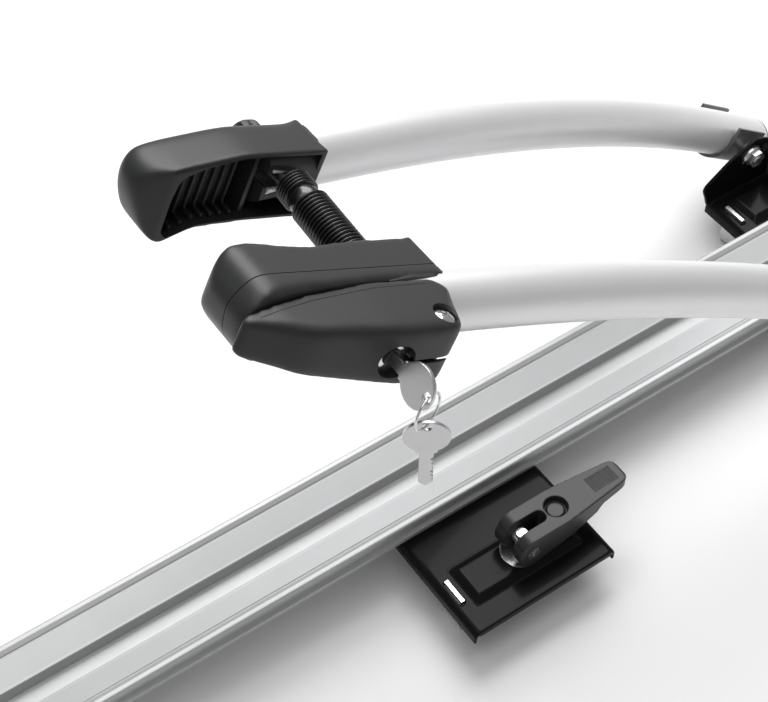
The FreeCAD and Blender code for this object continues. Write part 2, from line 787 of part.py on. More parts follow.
def arm(name, side):
    """Tube, end cap, saddle and pivot pieces of one arm."""
    path = armPath()
    outer = doc.addObject("Part::Feature", name + "TubeOuter")
    outer.Shape = sweptRound(path, given.tubeWidth / 2)
    outer.Placement = armFrame(side)
    inner = doc.addObject("Part::Feature", name + "TubeInner")
    inner.Shape = sweptRound(path, given.tubeWidth / 2 - given.tubeWall)
    inner.Placement = armFrame(side)
    hole = rod(name + "TubeBolt", "Sizes.pivotBolt / 2 + 0.3", 80.0, boltPlace(side, given.earOuter - 10))
    tools = [inner, hole]
    if side > 0:
        tools.append(rodSlot(name + "TubeSlot"))
    else:
        tools.append(rod(name + "TubeRod", "Sizes.rodWidth / 2 + 0.4", 40.0,
                         acrossPlace(30)))
    keep(name + "_tube", carve(name + "Tube", outer, tools))

    cover = rod(name + "CapDisc", "Sizes.tubeWidth / 2 - 0.2", "Sizes.tubeCapThick",
                lowerSpot(side, -given.tubeTail - given.tubeCapThick))
    plug = rod(name + "CapPlug", "Sizes.tubeWidth / 2 - Sizes.tubeWall - Sizes.fitGap", 12.0,
               lowerSpot(side, -given.tubeTail))
    keep(name + "_tube_cap", join(name + "Cap", [cover, plug]))

    wide = given.tubeWidth / 2 + given.saddleGap
    thick = wide + given.saddleWall
    body = doc.addObject("PartDesign::Body", name + "SaddleBent")
    drawing = body.newObject("Sketcher::SketchObject", name + "SaddleOutline")
    drawing.AttachmentSupport = [(originPlane(body, "XY_Plane"), "")]
    drawing.MapMode = "FlatFace"
    top = -given.saddleSide
    drawing.addGeometry([
        Part.LineSegment(Vector(top, -thick, 0), Vector(0, -thick, 0)),
        Part.Arc(Vector(0, -thick, 0), Vector(thick, 0, 0), Vector(0, thick, 0)),
        Part.LineSegment(Vector(0, thick, 0), Vector(top, thick, 0)),
        Part.LineSegment(Vector(top, thick, 0), Vector(top, wide, 0)),
        Part.LineSegment(Vector(top, wide, 0), Vector(0, wide, 0)),
        Part.Arc(Vector(0, wide, 0), Vector(wide, 0, 0), Vector(0, -wide, 0)),
        Part.LineSegment(Vector(0, -wide, 0), Vector(top, -wide, 0)),
        Part.LineSegment(Vector(top, -wide, 0), Vector(top, -thick, 0)),
    ], False)
    pad = body.newObject("PartDesign::Pad", name + "SaddlePad")
    pad.Profile = drawing
    setSizes(pad, Length="Sizes.saddleFront + Sizes.saddleBack")
    body.Placement = lowerSpot(side, -given.saddleBack)
    bore = rod(name + "SaddleBore", "Sizes.pivotBolt / 2 + 0.2", 80.0, boltPlace(side, given.earOuter - 10))
    keep(name + "_saddle", carve(name + "Saddle", body, [bore]))

    middle = given.earOuter - given.earThick / 2
    ball = setSizes(doc.addObject("Part::Sphere", name + "Ball"), Radius="Sizes.ballWidth / 2")
    ball.Placement = boltPlace(side, middle)
    slab = rod(name + "BallSlab", 20.0, "2 * Sizes.ballFlat", boltPlace(side, middle - given.ballFlat))
    neck = rod(name + "Neck", "Sizes.spacerWidth / 2", 12.0, boltPlace(side, middle))
    wall = given.tubeWidth / 2 + given.saddleGap + given.saddleWall
    beyond = block(name + "NeckTrim", 60.0, 60.0, 60.0,
                   armFrame(side) * Placement(Vector(0, side * (wall - 30), -30), Rotation()))
    bush = join(name + "BushBlank", [overlap(name + "BallCut", ball, slab), neck])
    bushBore = rod(name + "BushBore", "Sizes.pivotBolt / 2 + 0.1", 60.0, boltPlace(side, middle - 30))
    keep(name + "_bush", carve(name + "Bush", bush, [beyond, bushBore]))

    seat = given.pivotY + wall + given.boltHeadWidth / 2 * math.tan(math.radians(given.splay)) + 0.1
    low = middle - given.ballFlat - given.pivotNutHeight - 1
    shank = rod(name + "BoltShank", "Sizes.pivotBolt / 2", seat - low, boltPlace(side, low))
    head = rod(name + "BoltHead", "Sizes.boltHeadWidth / 2", "Sizes.boltHeadHeight", boltPlace(side, seat))
    socket = hexagon(name + "BoltSocket", 5.0, 3.0, boltPlace(side, seat + given.boltHeadHeight - 2.5))
    bolt = join(name + "BoltBlank", [shank, head])
    keep(name + "_pivot_bolt", carve(name + "Bolt", bolt, [socket]))

    nut = hexagon(name + "NutBlank", given.pivotNutSide, "Sizes.pivotNutHeight",
                  boltPlace(side, middle - given.ballFlat - given.pivotNutHeight))
    thread = rod(name + "NutThread", "Sizes.pivotBolt / 2", 30.0, boltPlace(side, middle - 30))
    keep(name + "_pivot_nut", carve(name + "Nut", nut, [thread]))


arm("near", -1)
arm("far", 1)


# Jaws
def jawSide(side):
    """Side outline of the far jaw (-1) or the near one (1), x up the arm and z across it."""
    if side < 0:
        return [
            (-25, 19.5),
            (35, 19, 80),
            (76, 11.5, 30),
            (93, 7, 12),
            (100.5, -3, 10),
            (97, -16, 16),
            (87, -36, 12),
            (76, -41, 8),
            (56, -31.5, 30),
            (20, -29.3, 60),
            (-25, -29),
        ]
    return [
        (-25, 18.3),
        (101, 24.4, 9),
        (116, 8, 14),
        (112, -10, 20),
        (100, -25, 16),
        (84, -28, 20),
        (50, -27.5, 40),
        (15, -27, 30),
        (-25, -24),
    ]


def jawPlan(side, corners):
    """Plan corners given with y outwards from the rail, for either side."""
    return [(x, side * y, *rest) for x, y, *rest in corners]


def jawHollow(name, side, mouth, depth):
    """Space behind the mouth of a jaw."""
    across = padded(name + "Side", "XZ_Plane", hollowSide(side), 300.0, jawFrame())
    plan = padded(name + "Plan", "XY_Plane", jawPlan(side, [
        (-30, mouth - 25),
        (90, mouth - 25),
        (84, mouth + depth, 5),
        (-21, mouth + depth),
    ]), 200.0, jawFrame())
    return overlap(name, across, plan)


def hollowSide(side, gap=0.0):
    """Side outline of the space in a jaw, or of what fits in it with a gap all round."""
    if side < 0:
        return [
            (-21 + gap, 16.5 - gap),
            (35, 16.3 - gap, 60),
            (60, 11 - gap, 30),
            (75.5 - gap, 4.5 - gap, 8),
            (78 - gap, -10, 10),
            (77.5 - gap, -33, 5),
            (72 - gap, -37 + gap, 3),
            (54, -28.5 + gap, 25),
            (18, -26.3 + gap, 50),
            (-21 + gap, -26 + gap),
        ]
    return [
        (-21 + gap, 15.3 - gap),
        (60, 18.5 - gap, 30),
        (84 - gap, 15 - gap, 10),
        (90 - gap, 0, 10),
        (86 - gap, -16, 10),
        (76, -25 + gap, 8),
        (50, -24.8 + gap, 30),
        (15, -24 + gap, 30),
        (-21 + gap, -21 + gap),
    ]


def partition(name, side, mouth, depth):
    """Wall between the tube's socket and the pad."""
    middle = side * (mouth + depth / 2 + 3)
    wall = block(name + "Wall", 3.0, depth - 6, 70.0, jawFrame() * spot(20.5, middle, -40))
    across = padded(name + "Side", "XZ_Plane", jawSide(side), 300.0, jawFrame())
    return overlap(name, wall, across)


def grip(label, side, mouth, depth):
    """Rubber pad with ribs that stand on its back and run out along the floor."""
    back = mouth + depth - given.padGap
    room = padded(label + "Room", "XZ_Plane", hollowSide(side, 0.5), 300.0, jawFrame())
    plate = block(label + "Plate", "Sizes.gripLength", "Sizes.gripThick", 60.0,
                  jawFrame() * spot(52.5, side * (back - given.gripThick / 2), -38))
    parts = [plate]
    deep = given.gripThick + given.ribHeight
    for count in range(int(given.padRibs)):
        x = 28.5 + given.ribPitch * count
        parts.append(block(f"{label}Rib{count}", "Sizes.ribThick", deep, 60.0,
                           jawFrame() * spot(x, side * (back - deep / 2), -38)))
        floor = hollowFloor(side, x) + given.ribHeight
        parts.append(block(f"{label}Foot{count}", "Sizes.ribThick", depth - 5, 20.0,
                           jawFrame() * spot(x, side * (back - (depth - 5) / 2), floor - 20)))
    keep(label, overlap(label + "Body", room, join(label + "Blank", parts)))


def hollowFloor(side, x):
    """Height of the hollow's floor at a place along the jaw."""
    if side > 0:
        return -24 - 0.8 * (min(x, 50) - 15) / 35
    if x < 54:
        return -26.3 - 2.2 * (x - 18) / 36
    return -28.5 - 8.5 * (x - 54) / 18


def sleeve(name, side, radius, start, end):
    """Round bar on the upper end of an arm's tube."""
    reach, rise = armReach()
    turn = Rotation(Vector(0, 1, 0), 90 - armSlope() + given.upperDrop)
    place = armFrame(side) * Placement(Vector(reach, 0, rise), turn)
    return rod(name, radius, end - start, place * spot(z=start))


def farOuterEdge(edge):
    """Edges of the far jaw's outer face."""
    return min(point.y for point in edge.discretize(5)) > given.farOuter - 0.1


def farJaw():
    mouth = given.farMouth
    outer = given.farOuter
    across = padded("FarSide", "XZ_Plane", jawSide(-1), 2 * outer, jawFrame())
    plan = padded("FarPlan", "XY_Plane", jawPlan(-1, [
        (-25, mouth),
        (80.5, mouth, 4),
        (99, mouth + 10, 12),
        (102.5, outer + 1.5, 15),
        (-25, outer + 1),
    ]), 200.0, jawFrame())
    shell = overlap("FarShell", roundEdges("FarRounded", across, 8.0, farOuterEdge), plan)
    opened = carve("FarOpened", shell, [jawHollow("FarHollow", -1, mouth, given.farDepth)])
    ring = sleeve("FarSleeve", 1, "Sizes.tubeWidth / 2 + Sizes.sleeveWall", -26, 17)
    boss = rod("FarBoss", "Sizes.knobSeatWidth / 2", 9.0, acrossPlace(-given.knobSeat))
    room = jawPlan(-1, [(-40, 30), (130, 30), (130, outer + 1), (-40, outer + 1)])
    field = padded("FarField", "XY_Plane", room, 200.0, jawFrame())
    socket = overlap("FarSocket", ring, field)
    whole = join("FarWhole", [opened, partition("FarPartition", -1, mouth, given.farDepth), socket, boss])
    bore = sleeve("FarBore", 1, "Sizes.tubeWidth / 2 + 0.15", -40, given.tubeHead + 0.3)
    keep("far_jaw", carve("FarJaw", whole, [bore, rodSlot("FarJawSlot")]))
    grip("far_grip", -1, mouth, given.farDepth)


def nearJaw():
    mouth = given.nearMouth
    seam = given.nearSeam
    gap = given.nearGap
    across = padded("NearSide", "XZ_Plane", jawSide(1), 300.0, jawFrame())
    plan = padded("NearPlan", "XY_Plane", [
        (-25, mouth - 1.5),
        (20, mouth - 1.5, 60),
        (57, mouth + 2.2, 50),
        (92, mouth - 4.5, 9),
        (109, mouth - 2, 14),
        (114, mouth + 13, 30),
        (117, gap + 7.8, 5),
        (77, gap + 2.2),
        (33, gap),
        (-25, gap),
    ], 200.0, jawFrame())
    shell = overlap("NearShell", across, plan)
    opened = carve("NearOpened", shell, [jawHollow("NearHollow", 1, mouth, given.nearDepth)])
    ring = sleeve("NearSleeve", -1, "Sizes.tubeWidth / 2 + Sizes.sleeveWall", -26, 17)
    field = padded("NearField", "XY_Plane", [(-40, 20), (130, 20), (130, gap), (-40, gap)], 200.0, jawFrame())
    socket = overlap("NearSocket", ring, field)
    whole = join("NearWhole", [opened, partition("NearPartition", 1, mouth, given.nearDepth), socket])
    relief = rod("NearRelief", "Sizes.tailRelief", 80.0, jawFrame() * spot(given.screwA, given.screwY, -40))
    bore = sleeve("NearBore", -1, "Sizes.tubeWidth / 2 + 0.15", -40, given.tubeHead + 0.3)
    passage = rod("NearPassage", "Sizes.rodWidth / 2 + 0.5", 40.0, acrossPlace(30))
    hollowed = carve("NearHollowed", whole, [relief, bore, passage])
    tail, nose = -50, 150
    line = [(nose, seam), (tail, seam)]
    inner = padded("NearInner", "XY_Plane", [(tail, 0), (nose, 0)] + line, 200.0, jawFrame())
    keep("near_jaw", overlap("NearJaw", hollowed, inner))
    outside = padded("NearOutside", "XY_Plane", line + [(tail, 120), (nose, 120)], 200.0, jawFrame())
    skin = overlap("NearSkin", hollowed, outside)
    lug = padded("NearLug", "XY_Plane", [
        (16.3, gap - 2),
        (23, gap - 2),
        (20, 85),
        (9, 102),
        (-3, 102),
        (-3, 94),
        (9, 89),
        (16.3, 86.5),
    ], "Sizes.lugThick", jawFrame() * spot(z=given.lugLevel))
    eye = rod("NearEye", 7.0, "Sizes.lugThick",
              jawFrame() * spot(given.screwA, given.screwY, given.lugLevel - given.lugThick / 2))
    hole = rod("NearLugHole", "Sizes.lidScrew / 2 + 0.1", 20.0,
               jawFrame() * spot(given.screwA, given.screwY, given.lugLevel - 10))
    keep("near_cover", carve("NearCover", join("NearCoverBlank", [skin, lug, eye]), [hole]))
    grip("near_grip", 1, mouth, given.nearDepth)


farJaw()
nearJaw()


# Rod, its anchor in the near tube, the bellows over it and the knob
def ringsProfile():
    """Places and radii of the circles along the bellows, from the far jaw to the near one."""
    root = given.bellowsRoot / 2
    crest = given.bellowsCrest / 2
    rings = [(0.0, root)]
    place = 0.0
    for count, pitch, top in (
        (int(given.fineRings), given.finePitch, crest - 0.6),
        (1, given.bandLength, root + 0.8),
        (int(given.bigRings), given.bigPitch, crest),
    ):
        for _ in range(count):
            rings += [
                (place + 0.12 * pitch, root),
                (place + 0.3 * pitch, top),
                (place + 0.62 * pitch, top),
                (place + 0.8 * pitch, root),
            ]
            place += pitch
    rings.append((place, root))
    return rings


def bellows():
    """Ribbed tube on a straight axis, with its bore."""
    rings = ringsProfile()
    wires = [Part.Wire(Part.makeCircle(radius, Vector(x, 0, 0), Vector(1, 0, 0))) for x, radius in rings]
    ribbed = Part.makeLoft(wires, True, True)
    bore = Part.makeCylinder(given.bellowsBore / 2, rings[-1][0], Vector(0, 0, 0), Vector(1, 0, 0))
    item = doc.addObject("Part::Feature", "Bellows")
    item.Shape = ribbed.cut(bore)
    middle = Vector(given.rodShift, -given.bellowsFar, 0)
    item.Placement = jawFrame() * Placement(middle, Rotation(Vector(0, 0, 1), 90))
    keep("bellows", item)


bellows()
knobFace = given.knobSeat + given.knobGap + given.knobWasher
rodEnd = given.nearAxis + 7
keep("clamp_rod", rod("ClampRod", "Sizes.rodWidth / 2", rodEnd + knobFace + given.knobLength - 2,
                      acrossPlace(2 - knobFace - given.knobLength)))
barrel = rod("Barrel", "Sizes.anchorWidth / 2", "Sizes.anchorLength",
             jawFrame() * spot(given.rodShift, given.nearAxis, -1 - given.anchorLength / 2))
barrelBore = rod("BarrelBore", "Sizes.rodWidth / 2", 40.0, acrossPlace(given.nearAxis - 20))
keep("rod_anchor", carve("RodAnchor", barrel, [barrelBore]))


def knob():
    """Domed knob with finger grooves, threaded on the rod."""
    base = -knobFace
    blank = rod("KnobBlank", "Sizes.knobWidth / 2", "Sizes.knobLength", acrossPlace(base - given.knobLength))
    dome = setSizes(doc.addObject("Part::Sphere", "KnobDome"), Radius="Sizes.knobWidth * 0.6")
    dome.Placement = acrossPlace(base - given.knobLength + given.knobWidth * 0.6)
    tools = [rod("KnobBore", "Sizes.rodWidth / 2 + 0.05", 60.0, acrossPlace(base - 40))]
    for count in range(8):
        turn = math.radians(45 * count)
        reach = given.knobWidth / 2 + 2
        place = acrossPlace(base - 40, given.rodShift + reach * math.cos(turn), reach * math.sin(turn))
        tools.append(rod(f"KnobGroove{count}", 3.6, 60.0, place))
    keep("knob", carve("Knob", overlap("KnobShape", blank, dome), tools))
    plain = rod("KnobWasherBlank", "Sizes.knobWasherWidth / 2", "Sizes.knobWasher", acrossPlace(base))
    eye = rod("KnobWasherEye", "Sizes.rodWidth / 2 + 0.1", 20.0, acrossPlace(base - 10))
    keep("knob_washer", carve("KnobWasher", plain, [eye]))


knob()


# Lock lid: the lever that closes over the near jaw and carries the lock
def lidPlan(inset=0.0):
    gap = given.nearGap + given.lidGap
    if inset:
        return [
            (-60, gap - 30),
            (150, gap - 30),
            (123 - inset - 2, gap + 11 - inset, 2),
            (106 - inset, 90 - inset, 20),
            (88, 99 - inset, 40),
            (28, 110.5 - inset, 60),
            (-3, 112 - inset),
            (-60, 112 - inset),
        ]
    return [
        (-8, gap + 2.6, 4),
        (33, gap),
        (77, gap + 2.2),
        (118, gap + 8.0),
        (124, gap + 9.0, 2.5),
        (121, gap + 14, 4),
        (106, 90, 20),
        (88, 99, 40),
        (28, 110.5, 60),
        (-4, 112, 8),
        (-16, 80, 9),
    ]


def lidSide(inset=0.0):
    tail = -60 if inset else -40
    return [
        (tail, given.lidTop - inset),
        (42, given.lidTop - 0.8 - inset, 80),
        (100, 18 - inset, 60),
        (122 - inset, 15 - inset, 7),
        (128 - inset, 3, 9),
        (120 - inset, -8 + inset, 10),
        (88, -13.8 + inset, 60),
        (40, -19 + inset, 80),
        (0, given.lidBottom - 1 + inset, 80),
        (tail, given.lidBottom - 1.5 + inset),
    ]


def lidWallAt(x):
    """Distance of the lid's outer wall from the rail's middle."""
    if x < 28:
        return 110.5 - (x - 28) * 1.5 / 32
    if x < 88:
        return 110.5 - (x - 28) * 11.5 / 60
    return 99 - (x - 88) * 0.5


def lockLid():
    frame = jawFrame()
    plan = padded("LidPlan", "XY_Plane", lidPlan(), 200.0, frame)
    across = padded("LidSide", "XZ_Plane", lidSide(), 300.0, frame * spot(y=100))
    blank = overlap("LidBlank", plan, across)
    roomPlan = padded("LidRoomPlan", "XY_Plane", lidPlan(given.lidWall), 200.0, frame)
    roomSide = padded("LidRoomSide", "XZ_Plane", lidSide(given.lidWall), 300.0, frame * spot(y=100))
    room = overlap("LidRoom", roomPlan, roomSide)
    screw = frame * spot(given.screwA, given.screwY)
    top = given.lugLevel + given.lugThick / 2 + 0.4
    low = given.lugLevel - given.lugThick / 2 - 0.4
    upper = rod("LidUpperBoss", 9.5, given.lidTop - 1.2 - top, screw * spot(z=top))
    lower = rod("LidLowerBoss", 6.5, low - given.lidBottom, screw * spot(z=given.lidBottom))
    face = lidWallAt(given.lockA)
    sunk = face - given.lockSunk
    well = rod("LidWell", "Sizes.lockWell / 2 + Sizes.lidWall", given.lockSunk + 19 - 1.5,
               acrossPlace(sunk - 19, given.lockA, given.lockB))
    tools = [
        rod("LidScrewSeat", "Sizes.lidScrewHead / 2 + 0.6", 20.0, screw * spot(z=given.lidTop - 4.2)),
        rod("LidScrewBore", "Sizes.lidScrew / 2 + 0.05", 60.0, screw * spot(z=-30)),
        rod("LidMouth", "Sizes.lockWell / 2", 30.0, acrossPlace(sunk, given.lockA, given.lockB)),
        rod("LidBore", "Sizes.lockWidth / 2 + 0.05", 60.0, acrossPlace(sunk - 30, given.lockA, given.lockB)),
        block("LidSlit", 60.0, 12.0, "Sizes.slitHeight",
              frame * spot(given.lockA - 10 - 30, 112, given.lugLevel - given.slitHeight / 2)),
    ]
    solid = join("LidSolid", [carve("LidShell", blank, [room]), upper, lower, well])
    keep("lock_lid", carve("LockLid", solid, tools))

    length = given.lockLength
    back = 3.0
    caseEnd = acrossPlace(sunk - length, given.lockA, given.lockB)
    coreEnd = caseEnd * spot(z=back)
    case = rod("LockCase", "Sizes.lockWidth / 2", length, caseEnd)
    core = rod("LockCore", "Sizes.rotorWidth / 2 + 0.05", length + 2, coreEnd)
    keep("lock_cylinder", carve("LockCylinder", case, [core]))
    plug = rod("Rotor", "Sizes.rotorWidth / 2", length - back + 1, coreEnd)
    edge = given.lockB - given.bladeWidth / 2 - 0.1
    keyway = block("Keyway", given.keyThick + 0.2, 30.0, given.bladeWidth + 0.2,
                   frame * spot(given.lockA, sunk + 15 - given.keyDepth, edge))
    keep("lock_rotor", carve("LockRotor", plug, [keyway]))

    shank = rod("LidShank", "Sizes.lidScrew / 2", given.lidTop - 3.2 - given.lidBottom - 3,
                screw * spot(z=given.lidBottom + 3))
    head = rod("LidHead", "Sizes.lidScrewHead / 2", 2.8, screw * spot(z=given.lidTop - 4.2))
    crown = setSizes(doc.addObject("Part::Sphere", "LidHeadDome"), Radius=14.0)
    crown.Placement = screw * spot(z=given.lidTop - 4.2 + 2.8 - 14)
    cross = [
        block(f"LidCross{count}", 6.4, 1.3, 3.0,
              screw * spot(z=given.lidTop - 3.6) * spot(axis=(0, 0, 1), angle=20 + 90 * count))
        for count in range(2)
    ]
    turned = join("LidScrewBlank", [shank, overlap("LidHeadShape", head, crown)])
    keep("lid_screw", carve("LidScrew", turned, cross))
    return sunk


lockFace = lockLid()


# Keys
def keyBlank(name, place, teeth):
    """Key in its own plane: x across, z up towards the bow, its hole at the origin."""
    bow = setSizes(doc.addObject("Part::Cylinder", name + "Bow"), Radius="Sizes.bowWidth / 2",
                   Height="Sizes.keyThick")
    bow.Placement = place * Placement(Vector(0, -given.keyThick / 2, 4 - given.bowWidth / 2), sideways)
    hole = rod(name + "Hole", "Sizes.keyHole / 2", 10.0, place * Placement(Vector(0, -5, 0), sideways))
    half = given.bladeWidth / 2
    start = 6 - given.bowWidth
    tip = start - given.bladeLength
    corners = [(-half, start + 4), (-half, tip + 3), (0, tip), (half - 1, tip + 3)]
    for count in range(teeth):
        low = tip + 4 + count * 3.6
        corners += [(half, low), (half, low + 1.2), (half - 1.2 - 0.4 * (count % 3), low + 2.4)]
    corners += [(half, tip + 5 + teeth * 3.6), (half, start + 4)]
    blade = padded(name + "Blade", "XZ_Plane", corners, "Sizes.keyThick", place)
    shoulder = padded(name + "Shoulder", "XZ_Plane", [
        (-half - 2, start + 2),
        (-half - 2, start - 3, 1),
        (half + 2, start - 3, 1),
        (half + 2, start + 2),
    ], "Sizes.keyThick", place)
    return carve(name, join(name + "Blank", [bow, blade, shoulder]), [hole])


frame = jawFrame()
reach = lockFace - given.keyDepth + given.bladeLength + given.bowWidth - 6
turnOut = Rotation(Vector(1, 0, 0), -90) * Rotation(Vector(0, 0, 1), 90)
keyPlace = frame * Placement(Vector(given.lockA, reach, given.lockB), turnOut)
keep("lock_key", keyBlank("LockKey", keyPlace, 0))
drop = given.keyHole / 2 - given.ringWire / 2 - given.ringSlack
hang = keyPlace.Base - Vector(0, 0, drop)
ringRadius = (given.ringWidth - given.ringWire) / 2
ringTurn = Rotation(Vector(0, 0, 1), given.ringTurn)
loop = setSizes(doc.addObject("Part::Torus", "KeyRing"), Radius1="(Sizes.ringWidth - Sizes.ringWire) / 2",
                Radius2="Sizes.ringWire / 2")
loop.Placement = Placement(hang - Vector(0, 0, ringRadius), ringTurn * sideways)
keep("key_ring", loop)
under = hang - Vector(0, 0, 2 * ringRadius + drop)
keep("spare_key", keyBlank("SpareKey", Placement(under, Rotation(Vector(0, 0, 1), given.spareTurn)), 6))

doc.recompute()
bad = [item.Name for item in doc.Objects if "Invalid" in item.State or "Error" in item.State]
if bad:
    raise SystemExit("failed: " + ", ".join(bad))
for label, item in pieces.items():
    if item.Shape.isNull() or not item.Shape.isValid():
        raise SystemExit("bad shape: " + label)
os.makedirs("parts", exist_ok=True)
for label, item in pieces.items():
    item.Shape.exportStep(f"parts/{label}.step")
    print(label, len(item.Shape.Solids), round(item.Shape.Volume))
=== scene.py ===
import json
import math

import bmesh
import bpy
import numpy as np
from mathutils import Matrix, Vector


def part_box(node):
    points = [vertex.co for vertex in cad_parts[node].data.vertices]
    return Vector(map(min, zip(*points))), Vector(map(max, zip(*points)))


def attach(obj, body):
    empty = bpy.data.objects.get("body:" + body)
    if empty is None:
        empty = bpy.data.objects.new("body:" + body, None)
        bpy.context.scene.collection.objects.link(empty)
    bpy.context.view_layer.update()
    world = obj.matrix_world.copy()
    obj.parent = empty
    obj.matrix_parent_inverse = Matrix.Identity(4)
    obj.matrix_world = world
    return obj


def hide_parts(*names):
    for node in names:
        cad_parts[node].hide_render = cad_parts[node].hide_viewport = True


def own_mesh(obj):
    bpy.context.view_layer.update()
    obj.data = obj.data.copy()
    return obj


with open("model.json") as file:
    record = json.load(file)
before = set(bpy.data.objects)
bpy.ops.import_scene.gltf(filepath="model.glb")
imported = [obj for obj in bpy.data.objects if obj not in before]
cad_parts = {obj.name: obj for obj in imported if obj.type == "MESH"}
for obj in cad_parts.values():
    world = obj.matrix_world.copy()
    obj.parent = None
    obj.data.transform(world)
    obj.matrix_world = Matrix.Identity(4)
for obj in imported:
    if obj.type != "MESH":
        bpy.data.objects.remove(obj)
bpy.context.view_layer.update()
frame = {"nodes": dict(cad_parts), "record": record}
nodes = frame["nodes"]
bodyOf = {node: body for body, members in frame["record"]["behaviour"]["bodies"].items() for node in members}
slotOf = {part["node"]: part["material_slot"] for part in frame["record"]["subparts"]}
mm = 0.001

# Roof bicycle carrier. Shapes are drawn in millimetres, in the jaws' own frame or the key's,
# and moved into the carrier's frame, which is in metres.

# Camera
view = {
    "place": (-0.6410, -0.5674, 1.0385),
    "heading": 55.334,    # degrees from +X towards +Y
    "pitch": 50.462,      # degrees down
    "lens": 79.7,
    "sensor": 36.0,
    "clipEnd": 50.0,
}


def makeCamera():
    camera = bpy.data.objects.new("camera", bpy.data.cameras.new("camera"))
    bpy.context.scene.collection.objects.link(camera)
    heading = math.radians(view["heading"])
    pitch = math.radians(view["pitch"])
    level = math.cos(pitch)
    forward = Vector((math.cos(heading) * level, math.sin(heading) * level, -math.sin(pitch)))
    right = forward.cross(Vector((0, 0, 1))).normalized()
    up = right.cross(forward)
    turn = Matrix((right, up, -forward)).transposed().to_4x4()
    camera.matrix_world = Matrix.Translation(view["place"]) @ turn
    camera.data.lens = view["lens"]
    camera.data.sensor_width = view["sensor"]
    camera.data.sensor_fit = "HORIZONTAL"
    camera.data.clip_end = view["clipEnd"]
    bpy.context.scene.camera = camera


makeCamera()
print("camera set")

# Finishes
railFinish = {
    "color": (0.44, 0.443, 0.447), "metallic": 0.45, "roughness": 0.5,
    "stretch": (0.02, 1.0, 1.0), "grain": 2600.0, "depth": 0.035, "spread": 0.10,
    "mottle": 0.04, "edge": 0.35,
}
armFinish = {
    "color": (0.80, 0.80, 0.81), "metallic": 0.65, "roughness": 0.42,
    "stretch": (1.0, 1.0, 1.0), "grain": 4200.0, "depth": 0.03, "spread": 0.06,
    "mottle": 0.03, "edge": 0.3,
}
jawFinish = {
    "color": (0.018, 0.0185, 0.0195), "metallic": 0.0, "roughness": 0.42, "specular": 0.4,
    "stretch": (1.0, 1.0, 1.0), "grain": 2300.0, "depth": 0.05, "spread": 0.07,
    "mottle": 0.06, "edge": 0.6,
}
leverFinish = dict(jawFinish, color=(0.020, 0.0205, 0.0215), roughness=0.42, edge=0.5)
capFinish = dict(jawFinish, color=(0.012, 0.012, 0.013), roughness=0.48, edge=0.5)
paintFinish = {
    "color": (0.006, 0.006, 0.0065), "metallic": 0.0, "roughness": 0.26, "coat": 0.06, "coatRough": 0.08,
    "specular": 0.05,
    "stretch": (1.0, 1.0, 1.0), "grain": 700.0, "depth": 0.03, "spread": 0.05,
    "mottle": 0.1, "edge": 0.7,
}
saddleFinish = {
    "color": (0.12, 0.12, 0.125), "metallic": 0.7, "roughness": 0.4,
    "stretch": (1.0, 1.0, 1.0), "grain": 1500.0, "depth": 0.04, "spread": 0.1,
    "mottle": 0.1, "edge": 0.4,
}
steelFinish = {
    "color": (0.66, 0.66, 0.67), "metallic": 1.0, "roughness": 0.28,
    "stretch": (1.0, 1.0, 0.2), "grain": 1800.0, "depth": 0.04, "spread": 0.12,
    "mottle": 0.08, "edge": 0.35,
}
chromeFinish = {
    "color": (0.72, 0.72, 0.73), "metallic": 1.0, "roughness": 0.12,
    "stretch": (1.0, 1.0, 1.0), "grain": 900.0, "depth": 0.015, "spread": 0.06,
    "mottle": 0.05, "edge": 0.25,
}
keyFinish = {
    "color": (0.60, 0.60, 0.61), "metallic": 1.0, "roughness": 0.3,
    "stretch": (1.0, 1.0, 0.1), "grain": 3000.0, "depth": 0.05, "spread": 0.14,
    "mottle": 0.06, "edge": 0.2,
}
padFinish = {
    "color": (0.012, 0.012, 0.0125), "metallic": 0.0, "roughness": 0.6,
    "stretch": (1.0, 1.0, 1.0), "grain": 1500.0, "depth": 0.08, "spread": 0.1,
    "mottle": 0.15, "edge": 0.5,
}
bellowsFinish = {
    "color": (0.006, 0.006, 0.0065), "metallic": 0.0, "roughness": 0.24, "coat": 0.3, "coatRough": 0.1,
    "stretch": (1.0, 1.0, 1.0), "grain": 1100.0, "depth": 0.03, "spread": 0.08,
    "mottle": 0.1, "edge": 0.0,
}
texture = {
    "grainDetail": 3.0,
    "cloudScale": 38.0,
    "cloudDetail": 4.0,
    "edgeSamples": 6,
}


def noiseNode(tree, source, scale, detail):
    noise = tree.nodes.new("ShaderNodeTexNoise")
    noise.inputs["Scale"].default_value = scale
    noise.inputs["Detail"].default_value = detail
    tree.links.new(source, noise.inputs["Vector"])
    return noise


